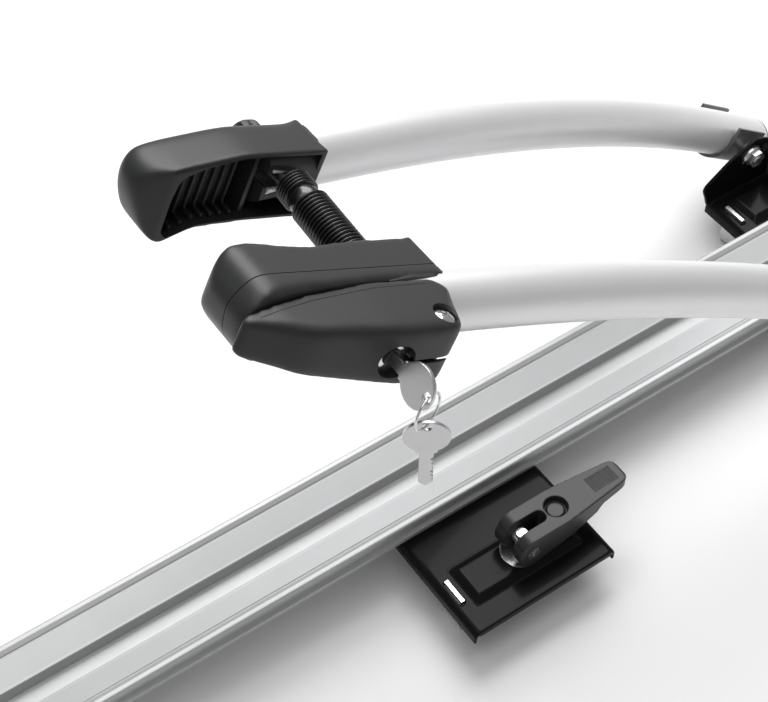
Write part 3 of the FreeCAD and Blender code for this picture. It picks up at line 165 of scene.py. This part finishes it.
def makeFinish(name, values):  # grain in the normal and gloss, mottled colour, softened edges
    material = bpy.data.materials.new(name)
    material.use_nodes = True
    tree = material.node_tree
    shader = tree.nodes["Principled BSDF"]
    shader.inputs["Metallic"].default_value = values["metallic"]
    shader.inputs["Coat Weight"].default_value = values.get("coat", 0.0)
    shader.inputs["Coat Roughness"].default_value = values.get("coatRough", 0.1)
    shader.inputs["Specular IOR Level"].default_value = values.get("specular", 0.5)

    places = tree.nodes.new("ShaderNodeTexCoord")
    stretch = tree.nodes.new("ShaderNodeMapping")
    stretch.inputs["Scale"].default_value = values["stretch"]
    tree.links.new(places.outputs["Object"], stretch.inputs["Vector"])
    grain = noiseNode(tree, stretch.outputs["Vector"], values["grain"], texture["grainDetail"])
    cloud = noiseNode(tree, places.outputs["Object"], texture["cloudScale"], texture["cloudDetail"])

    tint = tree.nodes.new("ShaderNodeMix")
    tint.data_type = "RGBA"
    low = [channel * (1 - values["mottle"]) for channel in values["color"]]
    high = [channel * (1 + values["mottle"]) for channel in values["color"]]
    tint.inputs["A"].default_value = (*low, 1)
    tint.inputs["B"].default_value = (*high, 1)
    tree.links.new(cloud.outputs["Fac"], tint.inputs["Factor"])
    tree.links.new(tint.outputs["Result"], shader.inputs["Base Color"])

    gloss = tree.nodes.new("ShaderNodeMapRange")
    gloss.inputs["To Min"].default_value = values["roughness"] - values["spread"] / 2
    gloss.inputs["To Max"].default_value = values["roughness"] + values["spread"] / 2
    tree.links.new(grain.outputs["Fac"], gloss.inputs["Value"])
    tree.links.new(gloss.outputs["Result"], shader.inputs["Roughness"])

    bump = tree.nodes.new("ShaderNodeBump")
    bump.inputs["Strength"].default_value = 1.0
    bump.inputs["Distance"].default_value = values["depth"] * mm
    tree.links.new(grain.outputs["Fac"], bump.inputs["Height"])
    tree.links.new(bump.outputs["Normal"], shader.inputs["Normal"])
    if values["edge"]:
        edge = tree.nodes.new("ShaderNodeBevel")
        edge.samples = texture["edgeSamples"]
        edge.inputs["Radius"].default_value = values["edge"] * mm
        tree.links.new(edge.outputs["Normal"], bump.inputs["Normal"])
    return material


finishes = {
    "satin_aluminium": makeFinish("railSatin", railFinish),
    "arm_aluminium": makeFinish("armLacquer", armFinish),
    "dark_plastic": makeFinish("jawPlastic", jawFinish),
    "lever_plastic": makeFinish("leverPlastic", leverFinish),
    "cap_plastic": makeFinish("capPlastic", capFinish),
    "black_steel": makeFinish("blackPaint", paintFinish),
    "grey_steel": makeFinish("saddlePaint", saddleFinish),
    "bright_steel": makeFinish("zincSteel", steelFinish),
    "chrome": makeFinish("chromePlate", chromeFinish),
    "rubber": makeFinish("barRubber", padFinish),
    "bellows_rubber": makeFinish("bellowsRubber", bellowsFinish),
    "key_steel": makeFinish("keyNickel", keyFinish),
}
for node, item in nodes.items():
    for holder in item.material_slots:
        holder.material = finishes[slotOf[node]]
print("finishes on", len(nodes), "parts of the frame")


# Mesh tools
def newPiece(name, mesh):
    piece = bpy.data.objects.new(name, mesh)
    bpy.context.scene.collection.objects.link(piece)
    return piece


def roundedOutline(corners, turn=8.0):  # corners are (u, v) or (u, v, radius)
    spots = [Vector(corner[:2]) for corner in corners]
    outline = []
    for index, corner in enumerate(corners):
        here = spots[index]
        if len(corner) == 2:
            outline.append(here)
            continue
        before = (spots[index - 1] - here).normalized()
        after = (spots[(index + 1) % len(spots)] - here).normalized()
        half = before.angle(after) / 2
        centre = here + (before + after).normalized() * (corner[2] / math.sin(half))
        arm = here + before * (corner[2] / math.tan(half)) - centre
        sweep = math.pi - 2 * half
        sense = 1 if before.x * after.y - before.y * after.x < 0 else -1
        steps = max(2, math.ceil(math.degrees(sweep) / turn))
        for count in range(steps + 1):
            angle = sense * sweep * count / steps
            cos, sin = math.cos(angle), math.sin(angle)
            outline.append(centre + Vector((arm.x * cos - arm.y * sin, arm.x * sin + arm.y * cos)))
    return outline


def prism(name, corners, low, high, plane="plan", side=1):  # plan is drawn in x and y, side in x and z
    outline = roundedOutline(corners)
    shape = bmesh.new()
    rings = []
    for level in (low, high):
        if plane == "plan":
            rings.append([shape.verts.new((spot.x, side * spot.y, level)) for spot in outline])
        else:
            rings.append([shape.verts.new((spot.x, side * level, spot.y)) for spot in outline])
    shape.faces.new(rings[0])
    shape.faces.new(rings[1])
    for index in range(len(outline)):
        following = (index + 1) % len(outline)
        shape.faces.new((rings[0][index], rings[0][following], rings[1][following], rings[1][index]))
    bmesh.ops.recalc_face_normals(shape, faces=shape.faces)
    mesh = bpy.data.meshes.new(name)
    shape.to_mesh(mesh)
    shape.free()
    return newPiece(name, mesh)


def roundBar(name, radius, start, end, sides=64):  # from one point to another
    start, end = Vector(start), Vector(end)
    way = end - start
    shape = bmesh.new()
    turn = way.to_track_quat("Z", "Y").to_matrix().to_4x4()
    place = Matrix.Translation((start + end) / 2) @ turn
    bmesh.ops.create_cone(shape, cap_ends=True, segments=sides, radius1=radius, radius2=radius,
                          depth=way.length, matrix=place)
    mesh = bpy.data.meshes.new(name)
    shape.to_mesh(mesh)
    shape.free()
    return newPiece(name, mesh)


def settle(piece):  # applies the piece's modifiers
    bpy.context.view_layer.update()
    seen = piece.evaluated_get(bpy.context.evaluated_depsgraph_get())
    mesh = bpy.data.meshes.new_from_object(seen)
    piece.modifiers.clear()
    piece.data = mesh
    return piece


def combine(piece, tools, operation):  # one tool after the other
    for tool in tools:
        change = piece.modifiers.new("change", "BOOLEAN")
        change.solver = "EXACT"
        change.operation = operation
        change.object = tool
        settle(piece)
        bpy.data.objects.remove(tool)
    return piece


def relax(mesh, rounds, weight):  # moves each point towards its neighbours, by its weight
    count = len(mesh.vertices)
    spots = np.empty(count * 3)
    mesh.vertices.foreach_get("co", spots)
    spots = spots.reshape(-1, 3)
    ends = np.empty(len(mesh.edges) * 2, np.int32)
    mesh.edges.foreach_get("vertices", ends)
    one, two = ends.reshape(-1, 2).T
    number = np.bincount(one, minlength=count) + np.bincount(two, minlength=count)
    share = (weight(spots) * 0.5)[:, None]
    for _ in range(rounds):
        total = [np.bincount(one, spots[two, axis], count) + np.bincount(two, spots[one, axis], count)
                 for axis in range(3)]
        spots += share * (np.stack(total, axis=1) / number[:, None] - spots)
    mesh.vertices.foreach_set("co", spots.ravel())
    mesh.update()


def remeshed(piece, voxel):
    change = piece.modifiers.new("voxels", "REMESH")
    change.mode = "VOXEL"
    change.voxel_size = voxel
    return settle(piece)


def thinned(piece, share):
    change = piece.modifiers.new("thin", "DECIMATE")
    change.ratio = share
    return settle(piece)


def ramp(values, low, high):  # 0 below low, 1 above high, smooth between
    part = np.clip((values - low) / (high - low), 0, 1)
    return part * part * (3 - 2 * part)


def dress(piece, node, matrix, sharp=38.0):  # moves a piece into the frame and hands it over
    piece.data.transform(matrix)
    if matrix.determinant() < 0:
        piece.data.flip_normals()
    piece.data.materials.clear()
    piece.data.materials.append(finishes[slotOf[node]])
    piece.data.polygons.foreach_set("use_smooth", [True] * len(piece.data.polygons))
    piece.data.polygons.foreach_set("material_index", [0] * len(piece.data.polygons))
    piece.data.set_sharp_from_angle(angle=math.radians(sharp))
    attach(piece, bodyOf[node])
    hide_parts(node)
    return piece


seamReach = 0.002            # points nearer than this are joined
softSharp = 60.0             # degrees; eased parts shade smoothly below it


def copyOf(node, name):  # the node's mesh in millimetres, joined at its seams
    mesh = nodes[node].data.copy()
    mesh.transform(Matrix.Scale(1 / mm, 4))
    shape = bmesh.new()
    shape.from_mesh(mesh)
    bmesh.ops.remove_doubles(shape, verts=shape.verts, dist=seamReach)
    shape.to_mesh(mesh)
    shape.free()
    mesh.name = name
    return newPiece(name, mesh)


def easedCopy(node, name, voxel, rounds, share):  # moulded look: edges eased all over
    piece = remeshed(copyOf(node, name), voxel)
    relax(piece.data, rounds, lambda spots: np.ones(len(spots)))
    return thinned(piece, share)


# Jaws and lock lid, in the jaws' frame: x up the arm, y outwards, z across
jaws = {
    "crossing": (-284.0, 0.0, 335.0),
    "tilt": 26.0,
    "tubeSlope": 23.2,
    "tubeSplay": 6.63,
    "tubeCentre": 67.2,      # from the carrier's middle to the tube's, at the rod
    "tubeDrop": 1.0,         # the tube's middle lies this much under the rod
    "bore": (-45.0, 14.3, 18.15),   # start and end along the tube from the rod, radius
    "sleeve": (-26.0, 17.0, 20.0),
    "rod": 4.0,
    "rodShift": 2.0,         # the rod is this far up the arm from the frame's origin
    "voxel": 1.1,
    "rounds": 170,
    "tailStart": -24.0,
    "roomEnds": (-30.0, 90.0),       # opening of the mouth's hollow
    "roomFloor": (-21.0, 84.0, 5.0),  # ends of its floor and the corner's radius
    "roomOut": 25.0,         # tool in front of the mouth
    "wall": (19.0, 22.0),    # wall between grip and rod
    "wallDepth": (6.0, 9.0),  # behind the mouth's edge, into the floor
    "field": (-40.0, 130.0),
    "fieldMouth": 1.0,
    "skin": 0.6,             # the sleeve stays this far inside the outline
    "cutLevel": 80.0,        # half length of tools that cut right through
    "cutSide": 150.0,
}


def jawMatrix():
    tilt = math.radians(jaws["tilt"])
    along = Vector((-math.cos(tilt), 0, math.sin(tilt)))
    across = Vector((math.sin(tilt), 0, math.cos(tilt)))
    turn = Matrix((along, Vector((0, -1, 0)), across)).transposed().to_4x4()
    return Matrix.Translation(Vector(jaws["crossing"])) @ turn


toCarrier = Matrix.Scale(mm, 4) @ jawMatrix()


def through(name, corners, side=1):  # plan tool, right through a jaw
    return prism(name, corners, -jaws["cutLevel"], jaws["cutLevel"], side=side)


def across(name, corners):  # side tool, right across both jaws
    return prism(name, corners, -jaws["cutSide"], jaws["cutSide"], "side")


def tubeLine(side, line, name):  # bar on the tube's upper end; side is 1 for the near arm
    start, end, radius = line
    slope = math.radians(jaws["tubeSlope"])
    splay = math.radians(jaws["tubeSplay"])
    x, _, z = jaws["crossing"]
    centre = Vector((x, -side * jaws["tubeCentre"], z - jaws["tubeDrop"]))
    level = math.cos(slope)
    way = Vector((-level * math.cos(splay), side * level * math.sin(splay), math.sin(slope)))
    back = jawMatrix().inverted()
    return roundBar(name, radius, back @ (centre + way * start), back @ (centre + way * end))


def tailEase(spots, least, end):  # the tail keeps its shape where the tube enters
    return least + (1 - least) * ramp(spots[:, 0], jaws["tailStart"], end)


def mouldedJaw(name, side, values, weight):
    mouth, outer = values["mouth"], values["outer"]
    floor = mouth + values["depth"]
    body = prism(name, values["side"], -values["reach"], values["reach"], "side")
    combine(body, [through("plan", values["plan"], side)], "INTERSECT")
    remeshed(body, jaws["voxel"])
    relax(body.data, jaws["rounds"], weight)
    hollow = across("hollow", values["hollow"])
    tail, nose = jaws["roomEnds"]
    front = mouth - jaws["roomOut"]
    floorTail, floorNose, corner = jaws["roomFloor"]
    room = [(tail, front), (nose, front), (floorNose, floor, corner), (floorTail, floor)]
    combine(hollow, [through("room", room, side)], "INTERSECT")
    start, end = jaws["wall"]
    low, high = mouth + jaws["wallDepth"][0], floor + jaws["wallDepth"][1]
    wall = [(start, low), (end, low), (end, high), (start, high)]
    sleeve = tubeLine(side, jaws["sleeve"], "sleeve")
    combine(hollow, [sleeve, through("wall", wall, side)], "DIFFERENCE")
    combine(body, [hollow], "DIFFERENCE")
    bulge = tubeLine(side, jaws["sleeve"], "bulge")
    tail, nose = jaws["field"]
    low = mouth + jaws["fieldMouth"]
    field = through("field", [(tail, low), (nose, low), (nose, outer), (tail, outer)], side)
    under = [(u, v - math.copysign(jaws["skin"], v), *radius) for u, v, *radius in values["side"]]
    combine(bulge, [field, across("under", under)], "INTERSECT")
    combine(body, [bulge], "UNION")
    return combine(body, [tubeLine(side, jaws["bore"], "bore")], "DIFFERENCE")


farJawShape = {
    "side": [(-25, 19.5), (35, 19, 80), (76, 11.5, 30), (93, 7, 12), (100.5, -3, 10), (97, -16, 16),
             (87, -36, 12), (76, -41, 8), (56, -31.5, 30), (20, -29.3, 60), (-25, -29)],
    "hollow": [(-21, 16.5), (35, 16.3, 60), (60, 11, 30), (75.5, 4.5, 8), (78, -10, 10), (77.5, -33, 5),
               (72, -37, 3), (54, -28.5, 25), (18, -26.3, 50), (-21, -26)],
    "plan": [(-25, 50), (80.5, 50, 4), (99, 60, 12), (102.5, 86.5, 15), (-25, 86)],
    "reach": 85.0,
    "mouth": 50.0,
    "depth": 20.0,
    "outer": 85.0,
    "rim": 14.0,             # the mouth's edge stays crisp over this width
    "crisp": 0.05,
    "tail": (0.08, -12.0),   # least easing there and where it ends
    "boss": (11.0, 81.0, 86.2),   # radius, start, end
    "slot": (-6.5, 15.0, 5.5, 5.4),  # ends from the rod, half height, corner
    "slotReach": (-110.0, -30.0),
}


def farJaw():
    values = farJawShape

    def weight(spots):
        rim = ramp(-spots[:, 1], values["mouth"], values["mouth"] + values["rim"])
        return (values["crisp"] + (1 - values["crisp"]) * rim) * tailEase(spots, *values["tail"])

    jaw = mouldedJaw("farJaw", -1, values, weight)
    x = jaws["rodShift"]
    radius, start, end = values["boss"]
    combine(jaw, [roundBar("boss", radius, (x, -start, 0), (x, -end, 0))], "UNION")
    back, ahead, half, corner = values["slot"]
    slot = [(x + back, -half, corner), (x + ahead, -half, corner),
            (x + ahead, half, corner), (x + back, half, corner)]
    combine(jaw, [prism("rodSlot", slot, *values["slotReach"], "side")], "DIFFERENCE")
    dress(jaw, "far_jaw", toCarrier)


screwSpot = (3.0, 100.0)     # the lid's screw, up the arm and outwards
nearJawShape = {
    "side": [(-25, 18.3), (106, 24.4, 14), (116.5, 8, 14), (113, -10, 20), (100, -25, 16), (84, -28, 20),
             (50, -27.5, 40), (15, -27, 30), (-25, -24)],
    "hollow": [(-21, 15.3), (60, 18.5, 30), (84, 15, 10), (90, 0, 10), (86, -16, 10), (76, -25, 8),
               (50, -24.8, 30), (15, -24, 30), (-21, -21)],
    "plan": [(-25, 32.5), (20, 32.5, 60), (57, 36.2, 50), (92, 29.5, 9), (112.5, 31, 14), (117, 47, 30),
             (117, 75.8, 5), (77, 70.2), (33, 68), (-25, 68)],
    "reach": 120.0,
    "mouth": 34.0,
    "depth": 17.0,
    "outer": 68.0,
    "ease": (0.10, 0.06, 0.15, 0.2),  # everywhere, more at the nose, shoulder, shoulder at the nose
    "nose": (55.0, 100.0),
    "shoulder": (57.0, 67.0),
    "tail": (0.12, -16.0),   # least easing there and where it ends
    "seam": 58.0,
    "seamGap": 0.45,
    "parts": (-60.0, 160.0),  # tools that part the jaw at its seam
    "partsDepth": (-20.0, 130.0),
    "relief": 32.0,
    "reliefLevel": 60.0,
    "reliefSides": 96,
    "passage": (20.0, 80.0),
    "passageGap": 0.5,
    "lug": [(16.3, 66), (23, 66), (20, 85), (9, 102), (-3, 102), (-3, 94), (9, 89), (16.3, 86.5)],
    "lugLevel": (-4.0, -1.0),
    "eye": (7.0, 3.1),       # outer radius and hole
    "eyeCut": 5.0,
}


def nearJaw():
    values = nearJawShape

    def weight(spots):
        body, noseMore, side, sideNose = values["ease"]
        nose = ramp(spots[:, 0], *values["nose"])
        shoulder = ramp(spots[:, 1], *values["shoulder"])
        share = body + noseMore * nose + shoulder * (side + sideNose * nose)
        return share * tailEase(spots, *values["tail"])

    whole = mouldedJaw("nearJaw", 1, values, weight)
    x, y = screwSpot
    level = values["reliefLevel"]
    shift = jaws["rodShift"]
    start, end = values["passage"]
    combine(whole, [
        roundBar("relief", values["relief"], (x, y, -level), (x, y, level), values["reliefSides"]),
        roundBar("passage", jaws["rod"] + values["passageGap"], (shift, start, 0), (shift, end, 0)),
    ], "DIFFERENCE")
    cover = newPiece("nearCover", whole.data.copy())
    tail, nose = values["parts"]
    low, high = values["partsDepth"]
    inner = values["seam"] - values["seamGap"] / 2
    outer = values["seam"] + values["seamGap"] / 2
    inside = through("inside", [(tail, low), (nose, low), (nose, inner), (tail, inner)])
    outside = through("outside", [(tail, outer), (nose, outer), (nose, high), (tail, high)])
    combine(whole, [inside], "INTERSECT")
    combine(cover, [outside], "INTERSECT")
    low, high = values["lugLevel"]
    eye, hole = values["eye"]
    cut = values["eyeCut"]
    lug = prism("lug", values["lug"], low, high)
    combine(lug, [roundBar("eye", eye, (x, y, low), (x, y, high))], "UNION")
    combine(lug, [roundBar("lugHole", hole, (x, y, low - cut), (x, y, high + cut))], "DIFFERENCE")
    combine(cover, [lug], "UNION")
    dress(whole, "near_jaw", toCarrier)
    dress(cover, "near_cover", toCarrier)


lidShape = {
    "gap": 68.8,
    "top": 21.0,
    "bottom": -21.5,
    "wall": 2.2,
    "reach": (-10.0, 150.0),
    "cut": 60.0,
    "ease": (0.04, 0.4),     # everywhere, more outwards
    "easeFrom": (78.0, 96.0),
    "bosses": (9.5, 6.5),    # over and under the lug
    "lugGap": 1.9,
    "screwSeat": (7.6, 4.2),  # radius, depth
    "screwBore": 3.05,
    "lock": (34.5, -2.0),
    "lockFloor": 104.25,     # floor of the well round the lock
    "well": 11.0,
    "wellBack": (19.0, 130.0),
    "wellOut": 140.0,
    "lockBore": (8.55, 30.0, 120.0),  # radius, behind the well's floor, end
    "slitLevel": -2.5,
    "slit": 3.0,
    "slitPlan": [(-40, 100), (24.5, 100), (24.5, 130), (-40, 130)],
    "line": (0.3, 0.15),     # parting line's width and depth
    "linePlan": [(-2, 75.4), (33, 73.8), (77, 76.0), (114, 81.2)],
    "lineLevel": (-5.0, 40.0),
}


def lidPlan(inset):
    gap = lidShape["gap"]
    if inset:
        return [(-60, gap - 30), (150, gap - 30), (121 - inset, gap + 11 - inset, 2),
                (106 - inset, 90 - inset, 20), (88, 99 - inset, 40), (28, 110.5 - inset, 60),
                (-3, 112 - inset), (-60, 112 - inset)]
    return [(-8, gap + 2.6, 4), (33, gap), (77, gap + 2.2), (118, gap + 8.0), (124, gap + 9.0, 2.5),
            (121, gap + 14, 4), (106, 90, 20), (88, 99, 40), (28, 110.5, 60), (-4, 112, 8), (-16, 80, 9)]


def lidSide(inset):
    tail = -60 if inset else -40
    top, bottom = lidShape["top"], lidShape["bottom"]
    return [(tail, top - inset), (42, top - 0.8 - inset, 80), (100, 18 - inset, 60),
            (122 - inset, 15 - inset, 7), (128 - inset, 3, 9), (120 - inset, -8 + inset, 10),
            (88, -13.8 + inset, 60), (40, -19 + inset, 80), (0, bottom - 1 + inset, 80),
            (tail, bottom - 1.5 + inset)]


def easedLid(name, inset):  # the lid's outside, or its room with an inset
    def weight(spots):
        body, outwards = lidShape["ease"]
        return body + outwards * ramp(spots[:, 1], *lidShape["easeFrom"])

    piece = prism(name, lidSide(inset), *lidShape["reach"], "side")
    combine(piece, [through(name + "Plan", lidPlan(inset))], "INTERSECT")
    remeshed(piece, jaws["voxel"])
    relax(piece.data, jaws["rounds"], weight)
    return piece


def lockLid():
    values = lidShape
    lid = easedLid("lockLid", 0)
    room = easedLid("room", values["wall"])
    x, y = screwSpot
    cut = values["cut"]
    level = values["slitLevel"]
    upper, lower = values["bosses"]
    a, b = values["lock"]
    sunk = values["lockFloor"]
    back, end = values["wellBack"]
    combine(room, [
        roundBar("upperBoss", upper, (x, y, level + values["lugGap"]), (x, y, cut)),
        roundBar("lowerBoss", lower, (x, y, -cut), (x, y, level - values["lugGap"])),
        roundBar("wellWall", values["well"] + values["wall"], (a, sunk - back, b), (a, end, b)),
    ], "DIFFERENCE")
    combine(lid, [room], "DIFFERENCE")
    wide, deep = values["line"]
    edge = values["linePlan"]
    line = prism("line", edge + [(u, v + wide) for u, v in reversed(edge)], *values["lineLevel"])
    combine(line, [prism("below", lidSide(deep), *values["reach"], "side")], "DIFFERENCE")
    combine(lid, [line], "DIFFERENCE")
    half = values["slit"] / 2
    seat, seatDepth = values["screwSeat"]
    bore, boreBack, boreEnd = values["lockBore"]
    combine(lid, [
        roundBar("screwSeat", seat, (x, y, values["top"] - seatDepth), (x, y, cut)),
        roundBar("screwBore", values["screwBore"], (x, y, -cut), (x, y, cut)),
        roundBar("lockMouth", values["well"], (a, sunk, b), (a, values["wellOut"], b)),
        roundBar("lockBore", bore, (a, sunk - boreBack, b), (a, boreEnd, b)),
        prism("slit", values["slitPlan"], level - half, level + half),
    ], "DIFFERENCE")
    dress(lid, "lock_lid", toCarrier)


farJaw()
print("far jaw")
nearJaw()
print("near jaw and cover")
lockLid()
print("lock lid")

# Ribbed sleeve over the rod
bellowsShape = {
    "start": 45.0,           # far end, from the carrier's middle
    "bore": 6.0,
    "root": 9.25,
    "fine": (5, 2.4, 11.6),  # rings, pitch, radius
    "band": (9.0, 10.0),     # length, radius
    "bandEdge": (0.3, 0.8),  # height and end of its bevel
    "big": (24, 2.88, 12.25),
    "valley": 0.06,          # share of the pitch at each side of a crest
    "round": 0.55,
    "steps": 9,
    "sides": 64,
    "lean": 4.0,             # degrees
    "keep": 0.325,           # share of its length with the jaws closed
    "fixed": -0.0456,        # its near end, in metres
    "sharp": 70.0,
}


def bellowsProfile():  # place along the sleeve and radius
    root = bellowsShape["root"]
    profile = [(0.0, root)]
    place = 0.0

    def ring(pitch, crest):  # narrow valley, round crest
        valley = bellowsShape["valley"]
        steps = bellowsShape["steps"]
        for step in range(1, steps + 1):
            turn = step / steps
            wave = math.sin(math.pi * (turn - valley) / (1 - 2 * valley))
            rise = wave ** bellowsShape["round"] if valley < turn < 1 - valley else 0.0
            profile.append((place + pitch * turn, root + (crest - root) * rise))

    count, pitch, crest = bellowsShape["fine"]
    for _ in range(count):
        ring(pitch, crest)
        place += pitch
    length, radius = bellowsShape["band"]
    bevel, flat = bellowsShape["bandEdge"]
    end = place + length
    profile.extend([(place + bevel, radius - bevel), (place + flat, radius), (end - flat, radius),
                    (end - bevel, radius - bevel), (end, root)])
    place += length
    count, pitch, crest = bellowsShape["big"]
    for _ in range(count):
        ring(pitch, crest)
        place += pitch
    bore = bellowsShape["bore"]
    return profile + [(place, bore), (place / 2, bore), (0.0, bore)]


def bellows():
    profile = bellowsProfile()
    sides = bellowsShape["sides"]
    shape = bmesh.new()
    rings = []
    circle = [(math.cos(math.tau * k / sides), math.sin(math.tau * k / sides)) for k in range(sides)]
    for place, radius in profile:
        rings.append([shape.verts.new((radius * cos, radius * sin, place)) for cos, sin in circle])
    for index, ring in enumerate(rings):
        following = rings[(index + 1) % len(rings)]
        for k in range(sides):
            after = (k + 1) % sides
            shape.faces.new((ring[k], ring[after], following[after], following[k]))
    bmesh.ops.recalc_face_normals(shape, faces=shape.faces)
    mesh = bpy.data.meshes.new("bellowsSleeve")
    shape.to_mesh(mesh)
    shape.free()
    lean = Matrix.Rotation(math.radians(-bellowsShape["lean"]), 4, "Z")
    along = Matrix.Translation((0, -bellowsShape["start"], 0)) @ Matrix.Rotation(math.radians(-90), 4, "X")
    place = toCarrier @ Matrix.Translation((jaws["rodShift"], 0, 0)) @ lean @ along
    sleeve = dress(newPiece("bellowsSleeve", mesh), "bellows", place, bellowsShape["sharp"])
    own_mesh(sleeve)


bellows()
print("bellows")

# Softly moulded copies of the frame's own parts
softParts = {                # voxel in mm, rounds of easing, share of faces kept
    "far_grip": ("farGrip", 0.5, 3, 0.3),
    "near_grip": ("nearGrip", 0.5, 3, 0.3),
    "knob": ("knobMoulded", 0.45, 5, 0.4),
    "front_bar_pad": ("frontBarRubber", 0.7, 3, 0.25),
    "main_bar_pads": ("mainBarRubber", 0.7, 3, 0.25),
    "lock_key": ("lockKey", 0.3, 2, 0.3),
    "spare_key": ("spareKey", 0.3, 2, 0.3),
    "front_bracket": ("frontPlate", 0.8, 4, 0.3),
    "main_bracket": ("mainPlate", 0.8, 4, 0.3),
}
for node, (name, voxel, rounds, share) in softParts.items():
    dress(easedCopy(node, name, voxel, rounds, share), node, Matrix.Scale(mm, 4), softSharp)
print("soft parts")

leverShape = (0.5, 7, 0.35)
stations = ["front_near", "main_near", "main_far"]


def levers():  # eased once, then moved to each clamp
    first = easedCopy("front_near_lever", "leverBlank", *leverShape)
    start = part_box("front_near_lever")[0]
    for station in stations:
        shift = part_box(station + "_lever")[0] - start
        piece = newPiece(station + "Lever", first.data.copy())
        dress(piece, station + "_lever", Matrix.Translation(shift) @ Matrix.Scale(mm, 4), softSharp)
    bpy.data.objects.remove(first)


levers()
print("levers")

# Floor and light
studio = {
    "floor": 6.0,
    "floorColor": (0.82, 0.82, 0.82),
    "floorRoughness": 0.9,
    "world": 0.33,
}
softBoxes = {                # place, what it faces, size in metres, watts
    "topBox": ((-0.3, 0.2, 2.2), (-0.2, 0, 0), 2.0, 20.0),
    "backBox": ((0.54, 1.05, 1.83), (-0.2, 0, 0.3), 1.6, 50.0),
    "frontBox": ((-1.6, -1.3, 0.9), (-0.2, 0, 0.2), 1.2, 1.0),
}


def softBox(name, place, aim, size, watts):
    lamp = bpy.data.objects.new(name, bpy.data.lights.new(name, "AREA"))
    bpy.context.scene.collection.objects.link(lamp)
    lamp.data.shape = "SQUARE"
    lamp.data.size = size
    lamp.data.energy = watts
    way = Vector(aim) - Vector(place)
    lamp.matrix_world = Matrix.Translation(place) @ way.to_track_quat("-Z", "Y").to_matrix().to_4x4()


def makeStudio():
    half = studio["floor"] / 2
    mesh = bpy.data.meshes.new("floor")
    corners = [(-half, -half, 0), (half, -half, 0), (half, half, 0), (-half, half, 0)]
    mesh.from_pydata(corners, [], [(0, 1, 2, 3)])
    floor = newPiece("floor", mesh)
    paper = bpy.data.materials.new("paper")
    paper.use_nodes = True
    shader = paper.node_tree.nodes["Principled BSDF"]
    shader.inputs["Base Color"].default_value = (*studio["floorColor"], 1)
    shader.inputs["Roughness"].default_value = studio["floorRoughness"]
    mesh.materials.append(paper)
    world = bpy.data.worlds.new("studio")
    world.use_nodes = True
    sky = world.node_tree.nodes["Background"]
    sky.inputs["Color"].default_value = (1, 1, 1, 1)
    sky.inputs["Strength"].default_value = studio["world"]
    bpy.context.scene.world = world
    for name, values in softBoxes.items():
        softBox(name, *values)
    bpy.context.scene.view_settings.view_transform = "Standard"


makeStudio()
print("studio")
